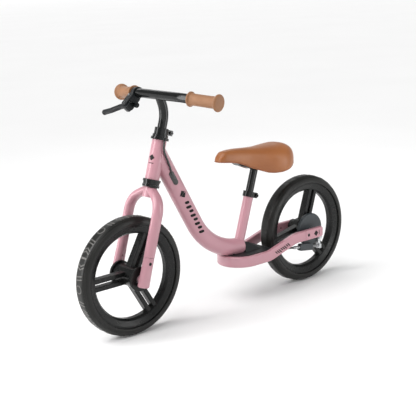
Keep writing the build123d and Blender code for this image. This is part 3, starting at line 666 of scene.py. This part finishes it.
BRAKE_TILT = math.radians(8.6)
BRAKE_LINE = Vector((math.cos(BRAKE_TILT), 0.0, math.sin(BRAKE_TILT)))
ANCHOR_FRONT = Vector((-0.235, 0.036, 0.104))
SPRING_FROM, SPRING_TO, SPRING_GAP = -0.0710, -0.0484, 0.0006
SPRING_R, SPRING_WIRE_R, SPRING_TURNS = 0.0033, 0.00055, 7
INNER_WIRE_R = 0.0008


def coil_spring(material):
    """Spring from the arm's foot to the housing."""
    up = Vector((-BRAKE_LINE.z, 0, BRAKE_LINE.x))
    side = Vector((0, 1, 0))
    run = SPRING_TO - SPRING_FROM - 2 * SPRING_GAP
    count = SPRING_TURNS * 18
    line = []
    for i in range(count + 1):
        t = i / count
        a = 2 * math.pi * SPRING_TURNS * t
        closer = t - 0.045 * math.sin(2 * math.pi * t)
        at = ANCHOR_FRONT + BRAKE_LINE * (SPRING_FROM + SPRING_GAP + run * closer)
        line.append(at + (up * math.cos(a) + side * math.sin(a)) * SPRING_R)
    spring = tube_mesh("return_spring_coil", line, SPRING_WIRE_R, 8, material, "frame_body",
                       ["return_spring"])
    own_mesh(spring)


def brake_wire(material):
    line = [ANCHOR_FRONT + BRAKE_LINE * x for x in (-0.0704, -0.05, 0.0, 0.0215)]
    wire = tube_mesh("brake_wire_strand", line, INNER_WIRE_R, 10, material, "frame_body",
                     ["inner_wire"])
    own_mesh(wire)


# ---------------------------------------------------------------- cable

HEAD_X, HEAD_Z, HEAD_TILT = 206.7, 357.0, math.radians(17.6)
CABLE_R = 0.0025


def steer(up, forward, side):
    """Point in millimetres, measured along the head tube and ahead of it."""
    x = HEAD_X - up * math.sin(HEAD_TILT) + forward * math.cos(HEAD_TILT)
    return x, side, HEAD_Z + up * math.cos(HEAD_TILT) + forward * math.sin(HEAD_TILT)


def brake_line(x):
    """Point in millimetres on the line of the brake's adjuster and wire."""
    return tuple((ANCHOR_FRONT + BRAKE_LINE * (x * MM)) / MM)


def brake_cable(material):
    route = [
        steer(93, 2.0, 21.5), steer(73, 2.0, 21.5), (177.5, 22.6, 404.0), (168.0, 22.8, 378.0),
        (155.5, 13.5, 351.0), (136.0, 6.0, 316.0), (112.0, 4.0, 272.0), (84.0, 5.0, 226.0),
        (48.0, 8.0, 180.0), (10.0, 9.5, 152.0), (-18.0, 10.0, 136.0), (-44.0, 14.0, 112.0),
        (-72.0, 22.0, 99.0), (-106.0, 31.0, 98.5), (-143.0, 36.0, 106.5), brake_line(55.0), brake_line(22.0),
    ]
    curve = bpy.data.curves.new("brake_cable_sheath", "CURVE")
    curve.dimensions = "3D"
    spline = curve.splines.new("NURBS")
    spline.points.add(len(route) - 1)
    for point, place in zip(spline.points, route):
        point.co = (*[c * MM for c in place], 1.0)
    spline.order_u = 3
    spline.use_endpoint_u = True
    spline.resolution_u = 12
    curve.bevel_depth = CABLE_R
    curve.bevel_resolution = 5
    curve.use_fill_caps = True
    curve.materials.append(material)
    sheath = placed("brake_cable_sheath", curve)
    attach(sheath, "frame_body")
    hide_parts("brake_cable")


# ---------------------------------------------------------------- printed marks

PRINT_LIFT, PRINT_REACH = 0.00015, 0.06


def printed(name, node, origin, look_from, along, shapes, material):
    """Flat generic shapes laid on a frame node. Each shape is a grid of (along, across) in metres."""
    mesh = frame["nodes"][node].data
    corners = [vertex.co.copy() for vertex in mesh.vertices]
    tree = BVHTree.FromPolygons(corners, [tuple(face.vertices) for face in mesh.polygons])
    origin, out = Vector(origin), Vector(look_from).normalized()
    u = Vector(along)
    u = (u - out * u.dot(out)).normalized()
    v = out.cross(u)
    grids = []
    for rows in shapes:
        laid = []
        for row in rows:
            new = []
            for a, b in row:
                start = origin + u * a + v * b + out * PRINT_REACH
                hit = tree.ray_cast(start, -out, 2 * PRINT_REACH)[0]
                if hit is None:
                    raise ValueError(f"{name} misses its surface")
                new.append(hit + out * PRINT_LIFT)
            laid.append(new)
        grids.append(lattice(laid, False))
    points, faces = joined(grids)
    mesh_piece(name, points, faces, material, "frame_body")


def bar_shape(a0, a1, b0, b1, steps=10, slant=0.0):
    """Bar with rounded ends, as a grid that runs along it."""
    rows = []
    radius = min(abs(a1 - a0), abs(b1 - b0)) / 2 * 0.9
    for i in range(steps + 1):
        t = i / steps
        a = a0 + (a1 - a0) * t
        near = min(a - a0, a1 - a)
        inset = 0.0 if near >= radius else radius - math.sqrt(max(radius**2 - (radius - near) ** 2, 0.0))
        across = [b0 + inset + (b1 - b0 - 2 * inset) * k / 4 for k in range(5)]
        rows.append([(a + slant * (b - (b0 + b1) / 2), b) for b in across])
    return rows


def diamond_shape(a, size):
    """Diamond round the place a along the row."""
    rows = []
    for i in range(9):
        t = -1 + 2 * i / 8
        half = size * (1 - abs(t)) + 0.0001
        rows.append([(a + size * t, half * (-1 + 2 * k / 4)) for k in range(5)])
    return rows


def printed_marks(ink):
    """A diamond and a row of slanted bars on the down tube, and smaller ones on the head and the stay."""
    bars = [bar_shape(0.019 + 0.0125 * k, 0.0265 + 0.0125 * k, -0.0065 - 0.0025 * (k % 2), 0.0055, slant=0.3)
            for k in range(8)]
    strokes = [bar_shape(0.0066 * k - 0.026, 0.0066 * k - 0.0222, -0.0045 - 0.0015 * (k % 3), 0.0045,
                         slant=-0.6) for k in range(8)]
    head = [diamond_shape(0.0, 0.0075), bar_shape(0.0120, 0.0138, -0.0075, 0.0075)]
    stay_end = [diamond_shape(-0.003, 0.0080), bar_shape(0.0075, 0.0098, -0.0065, 0.0065)]
    head_place = [c * MM for c in steer(50, 18, 5)]
    left = (0, 1, 0)
    printed("down_tube_marks", "frame", (0.1335, 0.03, 0.3110), (0.25, 1, 0.13), (-0.47, 0, -0.883),
            [diamond_shape(-0.002, 0.0100)] + bars, ink)
    printed("head_badge_marks", "frame", head_place, (1, 0.55, 0.3), (0.302, 0, -0.953), head, ink)
    printed("stay_marks", "rear_stay_loop", (-0.155, 0.058, 0.1232), left, (-1, 0, 0.285), strokes, ink)
    printed("stay_end_marks", "stay_cover_left", (-0.281, 0.058, 0.138), left, (-1, 0, 0.05), stay_end, ink)


# ---------------------------------------------------------------- floor and backdrop

FLOOR_HALF, FLOOR_Z = 40, -0.0002
WALL_R, WALL_TOP, WALL_SIDES = 38, 9.0, 64


def make_floor():
    corners = [(x * FLOOR_HALF, y * FLOOR_HALF, FLOOR_Z) for x, y in ((-1, -1), (1, -1), (1, 1), (-1, 1))]
    mesh_object("floor", corners, [(0, 1, 2, 3)], floor_look())


def make_wall():
    """Ring of wall far away, which casts no shadow."""
    turns = [2 * math.pi * k / WALL_SIDES for k in range(WALL_SIDES)]
    rows = [[Vector((WALL_R * math.cos(a), WALL_R * math.sin(a), h)) for a in turns]
            for h in (FLOOR_Z, WALL_TOP)]
    points, faces = lattice(rows, True)
    wall = mesh_object("wall", points, faces, wall_look())
    wall.visible_shadow = False


# ---------------------------------------------------------------- build

def repaint(materials):
    """Gives every CAD node the finished material of its slot, or one of its own."""
    own = {"footrest": "footrest", "brake_lever_bracket": "lever_plastic", "brake_lever": "lever_plastic",
           "saddle_pan": "lever_plastic"}
    slots = {part["node"]: part["material_slot"] for part in frame["record"]["subparts"]}
    for node, piece in frame["nodes"].items():
        material = materials[own.get(node, slots[node])]
        if not piece.material_slots:
            piece.data.materials.append(material)
        for place in piece.material_slots:
            place.material = material


make_lights(*make_camera())
materials = {
    "pink_paint": paint_look(),
    "tan_rubber": grip_look(),
    "tan_vinyl": saddle_look(),
    "tyre": tyre_look("tyre_rubber", FRONT_HUB),
    "black_plastic": black_plastic_look(),
    "lever_plastic": black_plastic_look("lever_plastic", (0.006, 0.007, 0.008), (0.013, 0.015, 0.017),
                                        (0.32, 0.46)),
    "footrest": footrest_look(),
    "grey_plastic": grey_plastic_look(),
    "black_rubber": cable_look(),
    "black_metal": gloss_black_look(),
    "bright_steel": steel_look(),
}
repaint(materials)
rear_rubber = tyre_look("tyre_rubber_rear", REAR_HUB)

brake_cable(materials["black_rubber"])
tyre("front_tyre_skin", FRONT_HUB, materials["tyre"], "front_wheel_body")
tyre("rear_tyre_skin", REAR_HUB, rear_rubber, "rear_wheel_body")
tread_marks("front_tread_marks", FRONT_HUB, tread_mark_highlight_look(), "front_wheel_body")
tread_marks("rear_tread_marks", REAR_HUB, rear_rubber, "rear_wheel_body")
saddle_cushion(materials["tan_vinyl"])
saddle_piping(piping_look())
grip(1, materials["tan_rubber"], "grip_left")
grip(-1, materials["tan_rubber"], "grip_right")
coil_spring(materials["bright_steel"])
brake_wire(materials["bright_steel"])
printed_marks(print_look())
make_floor()
make_wall()
bpy.context.scene.view_settings.view_transform = "Standard"
